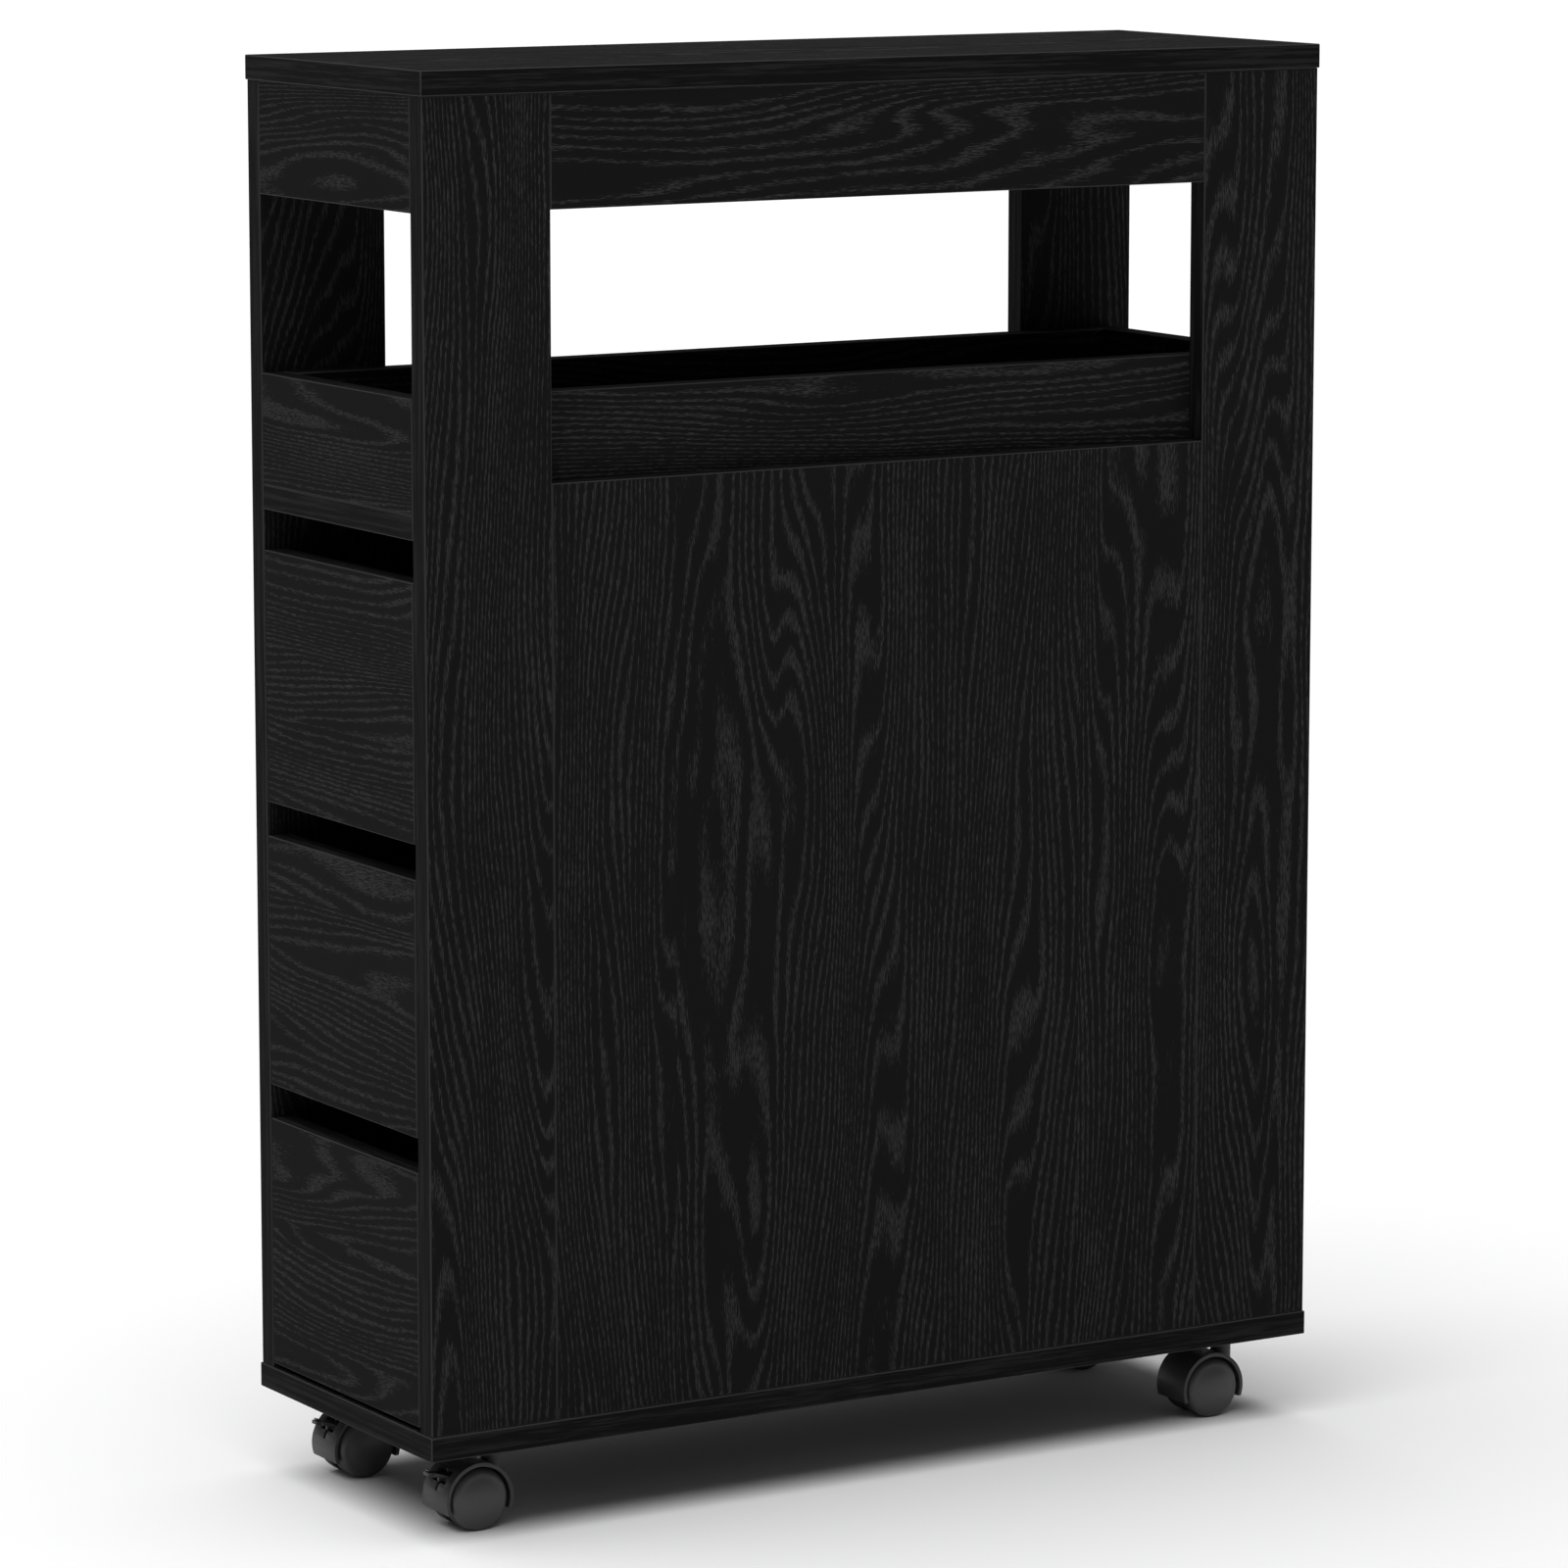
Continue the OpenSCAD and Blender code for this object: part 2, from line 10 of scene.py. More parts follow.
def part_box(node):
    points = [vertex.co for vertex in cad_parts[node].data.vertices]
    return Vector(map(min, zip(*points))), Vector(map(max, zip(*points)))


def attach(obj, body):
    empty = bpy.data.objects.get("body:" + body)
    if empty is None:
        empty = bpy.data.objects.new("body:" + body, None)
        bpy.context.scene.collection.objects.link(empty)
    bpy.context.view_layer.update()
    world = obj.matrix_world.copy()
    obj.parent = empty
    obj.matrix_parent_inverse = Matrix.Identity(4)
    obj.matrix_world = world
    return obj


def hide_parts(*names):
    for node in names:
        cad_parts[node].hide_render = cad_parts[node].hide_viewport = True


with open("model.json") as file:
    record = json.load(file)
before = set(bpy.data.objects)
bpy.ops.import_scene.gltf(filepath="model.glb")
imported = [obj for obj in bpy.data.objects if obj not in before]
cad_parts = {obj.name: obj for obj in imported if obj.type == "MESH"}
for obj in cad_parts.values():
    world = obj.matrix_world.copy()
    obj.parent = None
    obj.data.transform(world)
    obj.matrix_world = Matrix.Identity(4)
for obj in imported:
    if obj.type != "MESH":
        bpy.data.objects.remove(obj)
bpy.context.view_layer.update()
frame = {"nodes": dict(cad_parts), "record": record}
print("frame loaded:", len(frame["nodes"]), "nodes")

mm = 0.001
bodyOf = {node: body for body, nodes in frame["record"]["behaviour"]["bodies"].items() for node in nodes}


# a socket that can be added and multiplied like a number
class Signal:
    def __init__(self, shader, socket):
        self.shader = shader
        self.socket = socket

    def __add__(self, other):
        return self.shader.math("ADD", self, other)

    def __radd__(self, other):
        return self.shader.math("ADD", other, self)

    def __sub__(self, other):
        return self.shader.math("SUBTRACT", self, other)

    def __rsub__(self, other):
        return self.shader.math("SUBTRACT", other, self)

    def __mul__(self, other):
        return self.shader.math("MULTIPLY", self, other)

    def __rmul__(self, other):
        return self.shader.math("MULTIPLY", other, self)


class Shader:
    def __init__(self, owner):
        self.owner = owner
        owner.use_nodes = True
        self.tree = owner.node_tree
        self.tree.nodes.clear()

    # any node: its settings first, then the values or links of its sockets
    def node(self, kind, settings=None, inputs=None, output=0):
        made = self.tree.nodes.new(kind)
        for key, value in (settings or {}).items():
            setattr(made, key, value)
        for key, value in (inputs or {}).items():
            socket = made.inputs[key]
            if isinstance(value, Signal):
                self.tree.links.new(value.socket, socket)
            else:
                socket.default_value = value
        return Signal(self, made.outputs[output]) if made.outputs else None

    def math(self, operation, a, b=0.0):
        return self.node("ShaderNodeMath", {"operation": operation}, {0: a, 1: b})

    def scaled(self, vector, scale):
        return self.node("ShaderNodeVectorMath", {"operation": "MULTIPLY"}, {0: vector, 1: scale})

    def noise(self, vector, size, detail=2.0, roughness=0.5):
        sized = self.scaled(vector, tuple(1 / (s * mm) for s in size))
        settings = {"Vector": sized, "Scale": 1.0, "Detail": detail, "Roughness": roughness}
        return self.node("ShaderNodeTexNoise", {"noise_dimensions": "3D"}, settings)

    # 0 below low, 1 above high, smooth between
    def step(self, value, low, high, outLow=0.0, outHigh=1.0):
        ends = {"Value": value, "From Min": low, "From Max": high, "To Min": outLow, "To Max": outHigh}
        return self.node("ShaderNodeMapRange", {"interpolation_type": "SMOOTHSTEP"}, ends)

    def mix(self, factor, a, b):
        colours = {0: factor, 6: a, 7: b}
        return self.node("ShaderNodeMix", {"data_type": "RGBA"}, colours, output=2)

    def parts(self, vector):
        first = self.node("ShaderNodeSeparateXYZ", None, {0: vector})
        return [Signal(self, socket) for socket in first.socket.node.outputs]

    def joined(self, x, y, z):
        return self.node("ShaderNodeCombineXYZ", None, {0: x, 1: y, 2: z})

    # distance is in millimetres
    def bump(self, height, distance, strength):
        sizes = {"Height": height, "Distance": distance * mm, "Strength": strength}
        return self.node("ShaderNodeBump", None, sizes)

    def finish(self, sockets):
        surface = self.node("ShaderNodeBsdfPrincipled", None, sockets)
        self.node("ShaderNodeOutputMaterial", None, {"Surface": surface})
        return self.owner


def newMaterial(name):
    return Shader(bpy.data.materials.new(name))


def grey(shade):
    return (shade, shade, shade, 1.0)


# a shade and how far it strays to either side, as a share of itself
def greys(shade, vary):
    return grey(shade * (1 - vary)), grey(shade * (1 + vary))


# black oak laminate: light streaks of fine dashes lie where the growth rings meet the face
# noise sizes are in millimetres: along the grain, across it, and between one board and the next
oakLook = {
    "ground": 0.0088, "groundVary": 0.1, "streak": 0.035, "specular": 0.015,
    "roughness": 0.60, "streakRoughness": 0.72,
    "ringPitch": 6.3, "figureRings": 27.0, "spreadRings": 20.0, "waveRings": 1.1,
    "stripWidth": 310, "stripShift": 0.37, "thickVary": 0.8, "ragged": 1.9,
    "bodyEdge": (0.56, 0.84), "fleckEdge": (0.40, 0.60), "fleckFloor": 0.12,
    "figure": {"size": (540, 78, 100), "detail": 1.5, "roughness": 0.45},
    "spread": {"size": (1500, 210, 100), "detail": 0.0},
    "wave": {"size": (90, 30, 100)},
    "dash": {"size": (8.0, 0.65, 100), "detail": 2.5, "roughness": 0.55},
    "fleck": {"size": (4.8, 0.52, 70), "detail": 1.0},
    "thick": {"size": (150, 15, 80), "detail": 1.0},
    "cloud": {"size": (160, 90, 100)},
    "peel": {"size": (1.6, 1.2, 1.0)},
    "grainRelief": 0.8, "peelRelief": 0.25, "reliefDepth": 0.12, "reliefStrength": 0.6,
}


def oakGrain(s, look, sheet):
    along, across, depth = s.parts(sheet)
    strip = s.math("FLOOR", across * (1000 / look["stripWidth"]))
    layer = s.joined(along, across, depth + strip * look["stripShift"])
    figure = s.noise(layer, **look["figure"])
    wave = s.noise(layer, **look["wave"])
    spread = s.noise(layer, **look["spread"])
    rings = across * (1000 / look["ringPitch"]) + spread * look["spreadRings"]
    rings = rings + figure * look["figureRings"] + wave * look["waveRings"]
    tooth = s.math("PINGPONG", rings, 0.5) * 2.0
    dash = s.noise(layer, **look["dash"])
    fleck = s.noise(layer, **look["fleck"])
    thick = s.noise(layer, **look["thick"])
    edge = tooth + (thick - 0.5) * look["thickVary"] + (dash - 0.5) * look["ragged"]
    return s.step(edge, *look["bodyEdge"]) * s.step(fleck, *look["fleckEdge"], look["fleckFloor"], 1.0)


def blackOak(name, look):
    s = newMaterial(name)
    sheet = s.node("ShaderNodeUVMap", {"uv_map": "grain"})
    grain = oakGrain(s, look, sheet)
    cloud = s.noise(sheet, **look["cloud"])
    ground = s.mix(cloud, *greys(look["ground"], look["groundVary"]))
    peel = s.noise(sheet, **look["peel"])
    relief = grain * look["grainRelief"] + peel * look["peelRelief"]
    return s.finish({
        "Base Color": s.mix(grain, ground, grey(look["streak"])),
        "Roughness": s.step(grain, 0.0, 1.0, look["roughness"], look["streakRoughness"]),
        "Specular IOR Level": look["specular"],
        "Normal": s.bump(relief, look["reliefDepth"], look["reliefStrength"]),
    })


# the edge band is a plainer strip: close straight lines with little contrast
bandLook = {
    "ground": 0.0062, "line": 0.0160, "specular": 0.02, "roughness": 0.55, "fineRoughness": 0.65,
    "broad": {"size": (120, 3.2, 100)}, "fine": {"size": (22, 0.7, 100)},
    "broadShare": 0.6, "fineShare": 0.4, "lineEdge": (0.47, 0.60),
    "reliefDepth": 0.1, "reliefStrength": 0.4,
}
midNoise = (0.3, 0.7)  # the middle range that most noise values fall in


def oakBand(name, look):
    s = newMaterial(name)
    sheet = s.node("ShaderNodeUVMap", {"uv_map": "grain"})
    broad = s.noise(sheet, **look["broad"])
    fine = s.noise(sheet, **look["fine"])
    line = s.step(broad * look["broadShare"] + fine * look["fineShare"], *look["lineEdge"])
    return s.finish({
        "Base Color": s.mix(line, grey(look["ground"]), grey(look["line"])),
        "Roughness": s.step(fine, *midNoise, look["roughness"], look["fineRoughness"]),
        "Specular IOR Level": look["specular"],
        "Normal": s.bump(fine, look["reliefDepth"], look["reliefStrength"]),
    })


# the rounded arris, coloured paler than the face as a painted highlight along every board edge, its tone
# and roughness varying at random
arrisHighlightLook = {
    "shade": 0.032, "vary": 0.25, "specular": 0.06, "roughness": 0.50, "wornRoughness": 0.65,
    "wearAndHighlight": {"size": (14, 4, 10), "detail": 3.0},
}


def makeArrisHighlight(name, look):
    s = newMaterial(name)
    sheet = s.node("ShaderNodeUVMap", {"uv_map": "grain"})
    wearAndHighlight = s.noise(sheet, **look["wearAndHighlight"])
    return s.finish({
        # painted highlight: the arris shade is several times paler than the face ground
        "Base Color": s.mix(wearAndHighlight, *greys(look["shade"], look["vary"])),
        "Roughness": s.step(wearAndHighlight, *midNoise, look["roughness"], look["wornRoughness"]),
        "Specular IOR Level": look["specular"],
    })


# moulded nylon: a fine spark-eroded grain
nylonLook = {
    "vary": 0.14, "flow": {"size": (26, 26, 26), "detail": 3.0},
    "sparkDetail": 2.0, "sparkRoughness": 0.6, "reliefStrength": 0.55,
    "hood": {"shade": 0.034, "roughness": (0.41, 0.54), "specular": 0.40, "spark": 0.55, "depth": 0.06},
    "wheel": {"shade": 0.042, "roughness": (0.33, 0.46), "specular": 0.50, "spark": 0.8, "depth": 0.02},
    "tread": {"shade": 0.026, "roughness": (0.55, 0.68), "specular": 0.28, "spark": 0.9, "depth": 0.08},
}


def mouldedNylon(name, kind):
    look = nylonLook[kind]
    s = newMaterial(name)
    place = s.node("ShaderNodeTexCoord", output=3)
    flow = s.noise(place, **nylonLook["flow"])
    spark = s.noise(place, (look["spark"],) * 3, nylonLook["sparkDetail"], nylonLook["sparkRoughness"])
    return s.finish({
        "Base Color": s.mix(flow, *greys(look["shade"], nylonLook["vary"])),
        "Roughness": s.step(spark, *midNoise, *look["roughness"]),
        "Specular IOR Level": look["specular"],
        "Normal": s.bump(spark, look["depth"], nylonLook["reliefStrength"]),
    })


zincLook = {
    "dull": (0.42, 0.43, 0.45, 1), "bright": (0.60, 0.61, 0.62, 1), "roughness": (0.28, 0.46),
    "spangle": {"size": (3.0, 3.0, 3.0), "detail": 3.0, "roughness": 0.6},
    "scratch": {"size": (0.25, 9.0, 9.0)}, "reliefDepth": 0.03, "reliefStrength": 0.4,
}


def zincSteel(name, look):
    s = newMaterial(name)
    place = s.node("ShaderNodeTexCoord", output=3)
    spangle = s.noise(place, **look["spangle"])
    scratch = s.noise(place, **look["scratch"])
    return s.finish({
        "Base Color": s.mix(spangle, look["dull"], look["bright"]),
        "Metallic": 1.0,
        "Roughness": s.step(scratch, *midNoise, *look["roughness"]),
        "Normal": s.bump(scratch, look["reliefDepth"], look["reliefStrength"]),
    })


# unpainted wood and board out of sight: the dowels, the battens and the drawer bottoms
woodLook = {
    "veinDetail": 3.0, "veinRoughness": 0.6, "veinEdge": (0.35, 0.65), "roughness": (0.55, 0.75),
    "specular": 0.3, "reliefDepth": 0.1, "reliefStrength": 0.5,
    "dowel": {"pale": (0.60, 0.43, 0.26, 1), "dark": (0.42, 0.27, 0.14, 1), "fibre": (1.2, 1.2, 1.2)},
    "batten": {"pale": (0.36, 0.26, 0.16, 1), "dark": (0.22, 0.15, 0.085, 1), "fibre": (60, 1.6, 1.6)},
    "bottom": {"pale": (0.040, 0.032, 0.027, 1), "dark": (0.022, 0.018, 0.015, 1),
               "fibre": (2.5, 1.5, 2.0)},
}


def plainWood(name, kind):
    look = woodLook[kind]
    s = newMaterial(name)
    place = s.node("ShaderNodeTexCoord", output=3)
    vein = s.noise(place, look["fibre"], woodLook["veinDetail"], woodLook["veinRoughness"])
    return s.finish({
        "Base Color": s.mix(s.step(vein, *woodLook["veinEdge"]), look["dark"], look["pale"]),
        "Roughness": s.step(vein, *midNoise, *woodLook["roughness"]),
        "Specular IOR Level": woodLook["specular"],
        "Normal": s.bump(vein, woodLook["reliefDepth"], woodLook["reliefStrength"]),
    })


oakFace = blackOak("blackOakFace", oakLook)
oakEdge = oakBand("blackOakBand", bandLook)
# the arris finish is a painted highlight, paler than the face, laid on every rounded board edge
paintedEdgeHighlight = makeArrisHighlight("blackOakArrisPaintedHighlight", arrisHighlightLook)
hoodPlastic = mouldedNylon("hoodNylon", "hood")
wheelPlastic = mouldedNylon("wheelNylon", "wheel")
treadPlastic = mouldedNylon("treadNylon", "tread")
steel = zincSteel("zincSteel", zincLook)
beech = plainWood("beechDowel", "dowel")
battenWood = plainWood("battenWood", "batten")
hardboard = plainWood("hardboard", "bottom")
print("materials made")


def addPiece(name, mesh, materials, node):
    piece = bpy.data.objects.new(name, mesh)
    bpy.context.scene.collection.objects.link(piece)
    for material in materials:
        mesh.materials.append(material)
    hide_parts(node)
    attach(piece, bodyOf[node])
    return piece


def meshFrom(name, form):
    mesh = bpy.data.meshes.new(name)
    form.to_mesh(mesh)
    form.free()
    for face in mesh.polygons:
        face.use_smooth = True
    return mesh


def mainAxis(normal):
    sizes = [abs(value) for value in normal]
    return sizes.index(max(sizes))


# lays the grain on each face: along it on the wide faces, and along the strip on the narrow ones
def layGrain(form, grainAxis, thinAxis, size, start):
    layer = form.loops.layers.uv.new("grain")
    for face in form.faces:
        out = mainAxis(face.normal)
        flat = [axis for axis in range(3) if axis != out]
        if out == thinAxis:
            along = grainAxis
        else:
            along = max(flat, key=lambda axis: size[axis])
        across = flat[0] if flat[1] == along else flat[1]
        shift = start[out]
        turn = 1 if face.normal[out] > 0 else -1
        for corner in face.loops:
            place = corner.vert.co
            corner[layer].uv = (place[along] + shift[0], turn * place[across] + shift[1])


# boards: which way the grain runs on their wide faces, and how far it is slid on some of them
boardLook = {
    "arris": 0.7, "arrisSteps": 2, "flatLimit": 0.999, "scatter": 40,
    "grainX": ["top_board", "base_board", "rail_front", "rail_back", "tray_wall_front",
               "tray_wall_back", "tray_floor"],
    "grainY": ["apron_left", "apron_right", "tray_wall_left", "tray_wall_right",
               "drawer_front_1", "drawer_front_2", "drawer_front_3"],
    "grainZ": ["stile_front_left", "stile_front_right", "stile_back_left", "stile_back_right",
               "panel_front", "panel_back", "end_panel"],
    "slide": {"apron_left": (5.1, 6.9), "tray_wall_left": (3.4, 4.6), "drawer_front_1": (3.4, 4.6),
              "drawer_front_2": (3.4, 4.6), "drawer_front_3": (3.4, 4.6)},
}
boardFinishes = [oakFace, oakEdge, paintedEdgeHighlight]


def makeBoard(node, grainAxis, start):
    slide = boardLook["slide"].get(node, (0, 0))
    start = [(u + slide[0], v + slide[1]) for u, v in start]
    low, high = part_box(node)
    size = high - low
    form = bmesh.new()
    bmesh.ops.create_cube(form, size=1.0)
    bmesh.ops.scale(form, vec=size, verts=form.verts)
    bmesh.ops.translate(form, vec=(low + high) / 2, verts=form.verts)
    bmesh.ops.bevel(form, geom=form.edges[:], offset=boardLook["arris"] * mm, affect="EDGES",
                    segments=boardLook["arrisSteps"], profile=0.5, material=-1)
    thin = min(range(3), key=lambda axis: size[axis])
    layGrain(form, grainAxis, thin, size, start)
    # the rounded edge faces take the arris finish, a painted highlight; the narrow flat faces take the
    # band
    for face in form.faces:
        out = mainAxis(face.normal)
        if abs(face.normal[out]) < boardLook["flatLimit"]:
            face.material_index = boardFinishes.index(paintedEdgeHighlight)
        elif out != thin:
            face.material_index = boardFinishes.index(oakEdge)
    flat = [face.index for face in form.faces if face.material_index != boardFinishes.index(paintedEdgeHighlight)]
    mesh = meshFrom(node + "_board", form)
    for index in flat:
        mesh.polygons[index].use_smooth = False
    return addPiece(node + "_board", mesh, boardFinishes, node)


dice = random.Random(11)


def grainStart():
    far = boardLook["scatter"]
    return [(dice.uniform(0, far), dice.uniform(0, far)) for axis in range(3)]


for axis, key in enumerate(("grainX", "grainY", "grainZ")):
    for node in boardLook[key]:
        makeBoard(node, axis, grainStart())
print("boards made")

# points closer than a gap are merged, and faces that turn less than this are joined
mergeLook = {"gap": 0.004, "spunGap": 0.005, "turn": 1}


# a merged copy of a CAD shape
def copied(node):
    form = bmesh.new()
    form.from_mesh(frame["nodes"][node].data)
    bmesh.ops.remove_doubles(form, verts=form.verts, dist=mergeLook["gap"] * mm)
    bmesh.ops.dissolve_limit(form, angle_limit=math.radians(mergeLook["turn"]), verts=form.verts,
                             edges=form.edges)
    return form


# the same shape with its sharp edges softened
def softened(node, width, materials, steps=2, sharp=30, grain=None, form=None, name=None):
    form = form or copied(node)
    name = name or node + "_piece"
    if grain is not None:
        low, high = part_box(node)
        size = high - low
        thin = min(range(3), key=lambda axis: size[axis])
        layGrain(form, grain, thin, size, grainStart())
    mesh = meshFrom(name, form)
    piece = addPiece(name, mesh, materials, node)
    bevel = piece.modifiers.new("softEdges", "BEVEL")
    bevel.width = width * mm
    bevel.segments = steps
    bevel.limit_method = "ANGLE"
    bevel.angle_limit = math.radians(sharp)
    bevel.harden_normals = True
    return piece


# drawer boxes behind their fronts
boxLook = {"arris": 0.4, "bottomArris": 0.2}
for number in (1, 2, 3):
    for name in ("drawer_side_front", "drawer_side_back", "drawer_back"):
        softened(f"{name}_{number}", boxLook["arris"], [oakFace], grain=0 if "side" in name else 1)
    softened(f"drawer_bottom_{number}", boxLook["bottomArris"], [hardboard])
    softened(f"runners_{number}", boxLook["arris"], [battenWood])
print("drawer boxes made")


# an outline of (radius, height) spun about the axis through centre along Y
def spun(name, outline, centre, side, materials, node, finishAt):
    form = bmesh.new()
    verts = [form.verts.new((centre[0] + radius, centre[1] + side * height, centre[2]))
             for radius, height in outline]
    edges = [form.edges.new(pair) for pair in zip(verts, verts[1:])]
    bmesh.ops.spin(form, geom=verts + edges, cent=centre, axis=(0, 1, 0), dvec=(0, 0, 0),
                   angle=math.tau, steps=wheelLook["spinSteps"], use_merge=True, use_duplicate=False)
    bmesh.ops.remove_doubles(form, verts=form.verts, dist=mergeLook["spunGap"] * mm)
    bmesh.ops.recalc_face_normals(form, faces=form.faces)
    for face in form.faces:
        away = (face.calc_center_median() - Vector(centre)) / mm
        face.material_index = materials.index(finishAt(math.hypot(away.x, away.z), side * away.y))
    mesh = meshFrom(name, form)
    return addPiece(name, mesh, materials, node)


def arcPoints(centre, radius, start, end, steps):
    points = []
    for step in range(steps + 1):
        angle = math.radians(start + (end - start) * step / steps)
        points.append((centre[0] + radius * math.cos(angle), centre[1] + radius * math.sin(angle)))
    return points


# twin wheels: a domed cover pressed into a tread ring
wheelLook = {
    "shoulder": 4.8, "shoulderEnd": 82, "shoulderSteps": 12, "dome": 2.45, "domeSink": 0.05, "steps": 14,
    "innerStep": 3.0, "hub": 7.0, "axle": 3.05, "boreDepth": 9, "rim": 4.5, "innerEdge": 0.5,
    "innerEdgeSteps": 3, "treadFrom": 18.8, "treadTo": 14.0, "spinSteps": 96,
}


def wheelOutline(radius, innerY, outerY):
    look = wheelLook
    face = outerY - look["dome"]
    flat = radius - look["shoulder"]
    rim = radius - look["rim"]
    edge = look["innerEdge"]

    def dome(r):
        return face + look["dome"] * (1 - (r / flat) ** 2) - look["domeSink"]

    outline = [(look["axle"], innerY + look["boreDepth"]), (look["axle"], innerY), (look["hub"], innerY)]
    outline += [(look["hub"], innerY + look["innerStep"]), (rim, innerY + look["innerStep"])]
    outline += [(rim, innerY), (radius - edge, innerY)]
    outline += arcPoints((radius - edge, innerY + edge), edge, -90, 0, look["innerEdgeSteps"])
    outline += arcPoints((flat, face - look["shoulder"]), look["shoulder"], 0, look["shoulderEnd"],
                         look["shoulderSteps"])
    outline += [(flat * (1 - step / look["steps"]), dome(flat * (1 - step / look["steps"])))
                for step in range(1, look["steps"] + 1)]
    return [(max(r, 0) * mm, y * mm) for r, y in outline]


def wheelFinish(radius, height):
    onTread = radius > wheelLook["treadFrom"] and height < wheelLook["treadTo"]
    return treadPlastic if onTread else wheelPlastic


def makeWheel(node, hood):
    low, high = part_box(node)
    hoodLow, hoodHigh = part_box(hood)
    middle = (hoodLow.y + hoodHigh.y) / 2
    side = -1 if (low.y + high.y) / 2 < middle else 1
    centre = Vector(((low.x + high.x) / 2, middle, (low.z + high.z) / 2))
    radius = (high.x - low.x) / 2 / mm
    near = min(abs(low.y - middle), abs(high.y - middle)) / mm
    far = max(abs(low.y - middle), abs(high.y - middle)) / mm
    outline = wheelOutline(radius, near, far)
    return spun(node + "_piece", outline, centre, side, [wheelPlastic, treadPlastic], node, wheelFinish)


casterLook = {
    "hoodArris": 0.55, "leverArris": 0.45, "mouldedSteps": 3, "mouldedSharp": 35,
    "plateArris": 0.3, "plateSharp": 40,
}


def moulded(node, width):
    return softened(node, width, [hoodPlastic], casterLook["mouldedSteps"], casterLook["mouldedSharp"])


for corner in ("fl", "bl", "fr", "br"):
    moulded("caster_hood_" + corner, casterLook["hoodArris"])
    softened("caster_plate_" + corner, casterLook["plateArris"], [steel], sharp=casterLook["plateSharp"])
    for wheel in ("a", "b"):
        makeWheel(f"wheel_{wheel}_{corner}", "caster_hood_" + corner)


# curved lips that close most of the brake's window: one on the lever, one on the hood
lipLook = {
    "lever": {"inner": 22.3, "outer": 22.9, "slit": 1.3, "edge": 8.0, "low": 147.8, "high": 141.0},
    "hood": {"inner": 23.5, "outer": 24.4, "slit": 1.4, "edge": 8.7, "low": 158.0, "high": 152.4},
    "steps": 6, "arris": 0.12, "sharp": 40,
}


# both halves of a lip, one on each side of the slit
def makeLip(name, node, corner, look):
    low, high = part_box("caster_axle_" + corner)
    centre = (low + high) / 2
    start = math.radians(look["low"])
    form = bmesh.new()
    for side in (-1, 1):
        places = [(look[r], look[y]) for r, y in (("inner", "slit"), ("outer", "slit"),
                                                  ("outer", "edge"), ("inner", "edge"))]
        verts = [form.verts.new(centre + mm * Vector((r * math.cos(start), side * y, r * math.sin(start))))
                 for r, y in places]
        face = form.faces.new(verts)
        bmesh.ops.spin(form, geom=[face] + list(face.edges) + verts, cent=centre, axis=(0, 1, 0),
                       dvec=(0, 0, 0), angle=math.radians(look["low"] - look["high"]),
                       steps=lipLook["steps"], use_merge=False, use_duplicate=False)
    bmesh.ops.recalc_face_normals(form, faces=form.faces)
    softened(node, lipLook["arris"], [hoodPlastic], sharp=lipLook["sharp"], form=form, name=name)


for corner in ("fl", "bl"):
    lever = "brake_lever_" + corner
    moulded(lever, casterLook["leverArris"])
    makeLip("lever_lip_" + corner, lever, corner, lipLook["lever"])
    makeLip("hood_lip_" + corner, "caster_hood_" + corner, corner, lipLook["hood"])
print("casters made")

keptFinishes = {"dowels": beech, "caster_screws": steel}
for corner in ("fl", "bl", "fr", "br"):
    keptFinishes["caster_axle_" + corner] = steel
for node, finish in keptFinishes.items():
    data = frame["nodes"][node].data
    data.materials.clear()
    data.materials.append(finish)


stageLook = {
    "floorShade": 0.90, "floorVary": 0.01, "floorSize": 110.0, "floorSquares": 8,
    "floorRoughness": 0.9, "floorSpecular": 0.1, "mottle": {"size": (600, 600, 600), "detail": 3.0},
    "worldLight": 0.14, "worldSeen": 1.0,
}


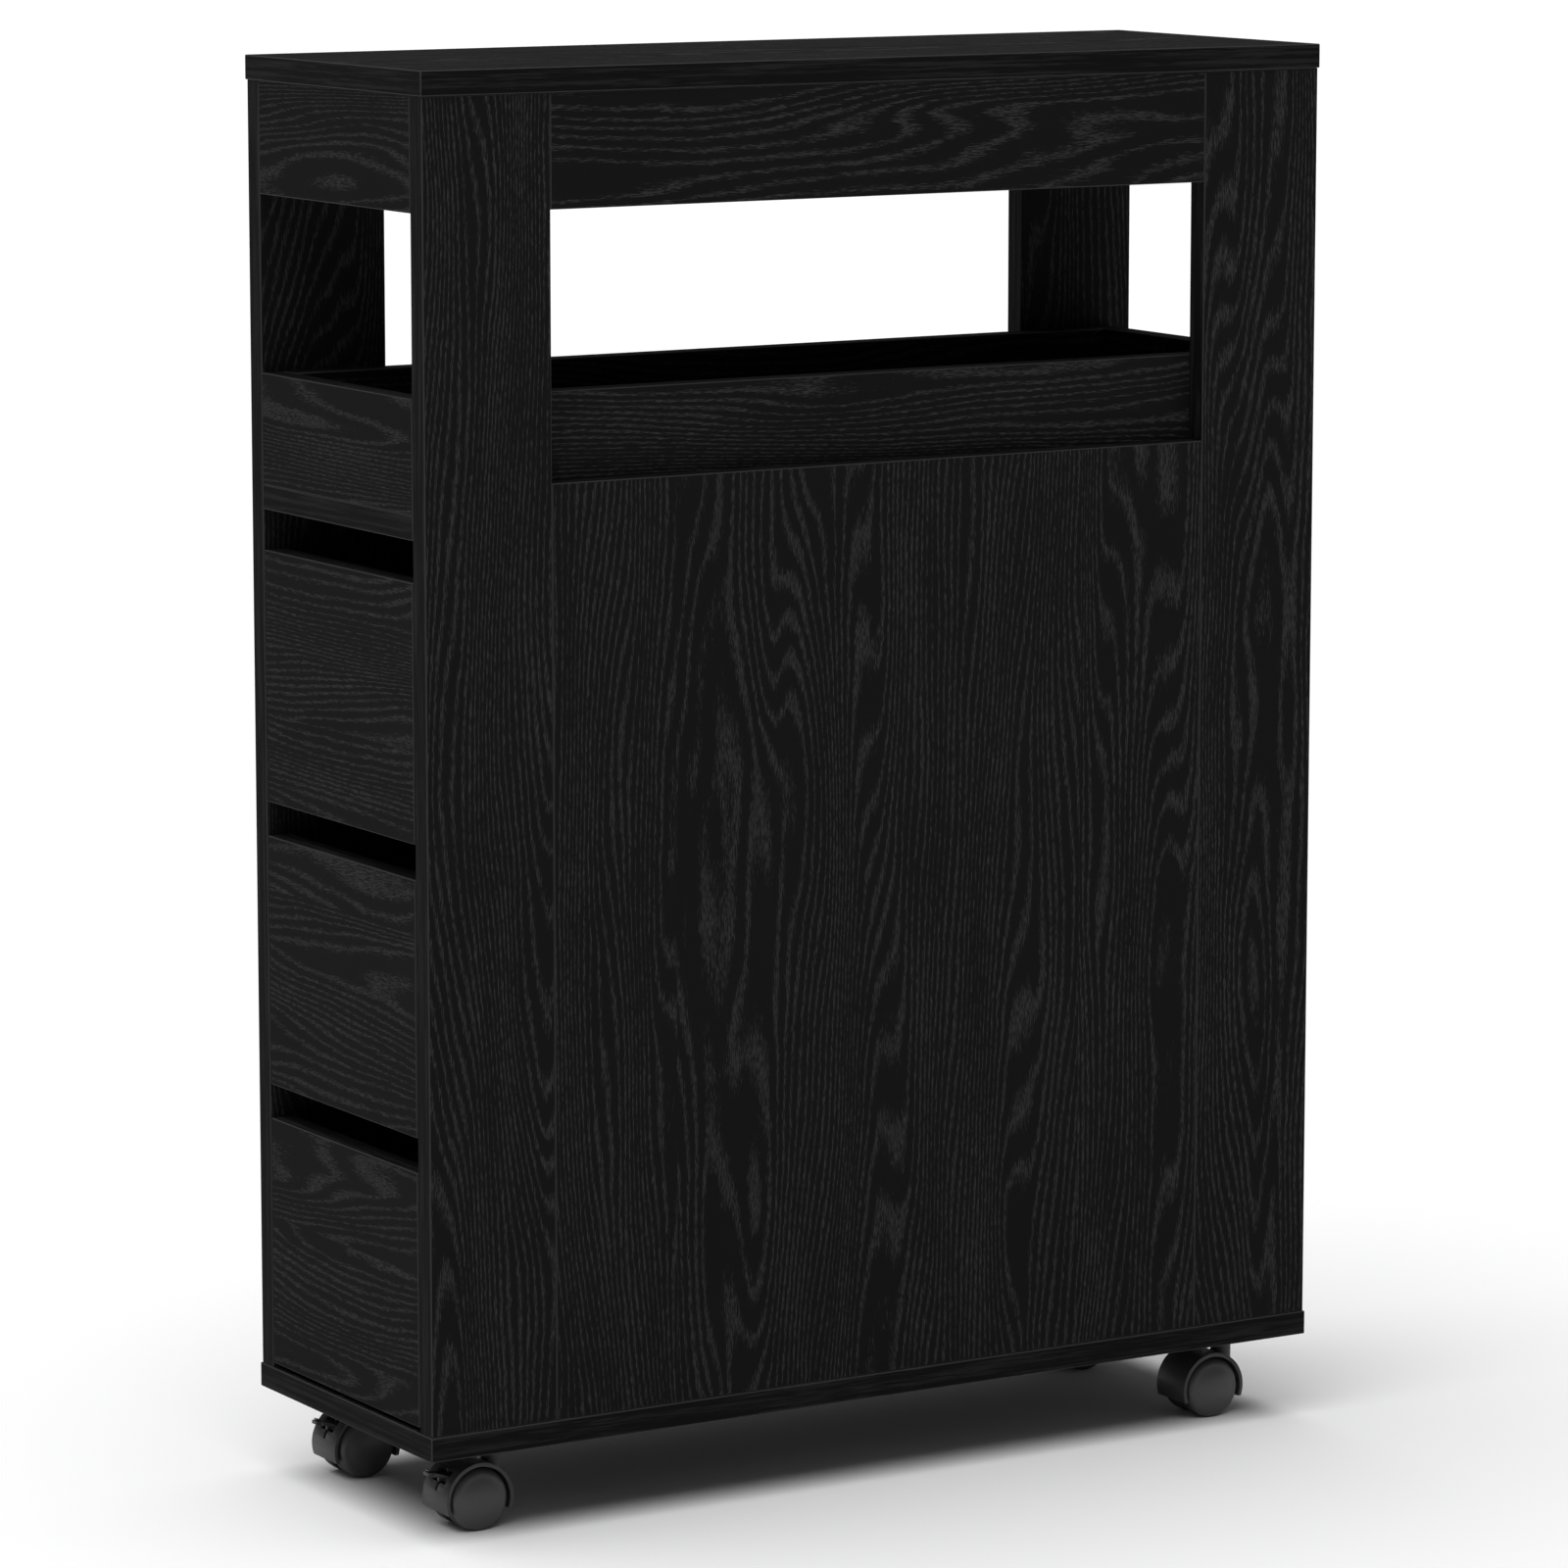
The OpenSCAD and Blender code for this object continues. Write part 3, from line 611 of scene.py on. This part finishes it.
def makeFloor(look):
    form = bmesh.new()
    bmesh.ops.create_grid(form, x_segments=look["floorSquares"], y_segments=look["floorSquares"],
                          size=look["floorSize"] / 2)
    mesh = meshFrom("floor", form)
    floor = bpy.data.objects.new("floor", mesh)
    bpy.context.scene.collection.objects.link(floor)
    s = newMaterial("paleFloor")
    place = s.node("ShaderNodeTexCoord", output=3)
    mottle = s.noise(place, **look["mottle"])
    mesh.materials.append(s.finish({
        "Base Color": s.mix(mottle, *greys(look["floorShade"], look["floorVary"])),
        "Roughness": look["floorRoughness"],
        "Specular IOR Level": look["floorSpecular"],
    }))


# the background is seen white, but lights the cart only faintly
def makeWorld(look):
    world = bpy.data.worlds.new("studio")
    bpy.context.scene.world = world
    s = Shader(world)
    seen = s.node("ShaderNodeLightPath")
    light = s.node("ShaderNodeBackground", None, {"Color": grey(1.0), "Strength": look["worldLight"]})
    back = s.node("ShaderNodeBackground", None, {"Color": grey(1.0), "Strength": look["worldSeen"]})
    both = s.node("ShaderNodeMixShader", None, {0: seen, 1: light, 2: back})
    s.node("ShaderNodeOutputWorld", None, {"Surface": both})


# one wide, soft light over the whole floor
lightLook = {"from": (-0.34, -0.06, 1.6), "strength": 3.4, "softness": 75}


def makeLight(look):
    lamp = bpy.data.lights.new("keyLight", "SUN")
    lamp.energy = look["strength"]
    lamp.angle = math.radians(look["softness"])
    thing = bpy.data.objects.new("keyLight", lamp)
    bpy.context.scene.collection.objects.link(thing)
    turn = (-Vector(look["from"])).to_track_quat("-Z", "Y").to_matrix().to_4x4()
    thing.matrix_world = Matrix.Translation(look["from"]) @ turn


cameraLook = {
    "place": (-2.322, -3.825, 1.153), "yaw": 31.2, "pitch": -8.92, "lens": 155.8, "sensor": 36,
    "near": 0.1, "far": 60,
}


def makeCamera(look):
    lens = bpy.data.cameras.new("camera")
    lens.lens = look["lens"]
    lens.sensor_width = look["sensor"]
    lens.clip_start = look["near"]
    lens.clip_end = look["far"]
    camera = bpy.data.objects.new("camera", lens)
    bpy.context.scene.collection.objects.link(camera)
    camera.location = look["place"]
    camera.rotation_euler = (math.radians(90 + look["pitch"]), 0, math.radians(-look["yaw"]))
    bpy.context.scene.camera = camera


makeFloor(stageLook)
makeWorld(stageLook)
makeLight(lightLook)
makeCamera(cameraLook)
bpy.context.scene.view_settings.view_transform = "Standard"
print("stage set")
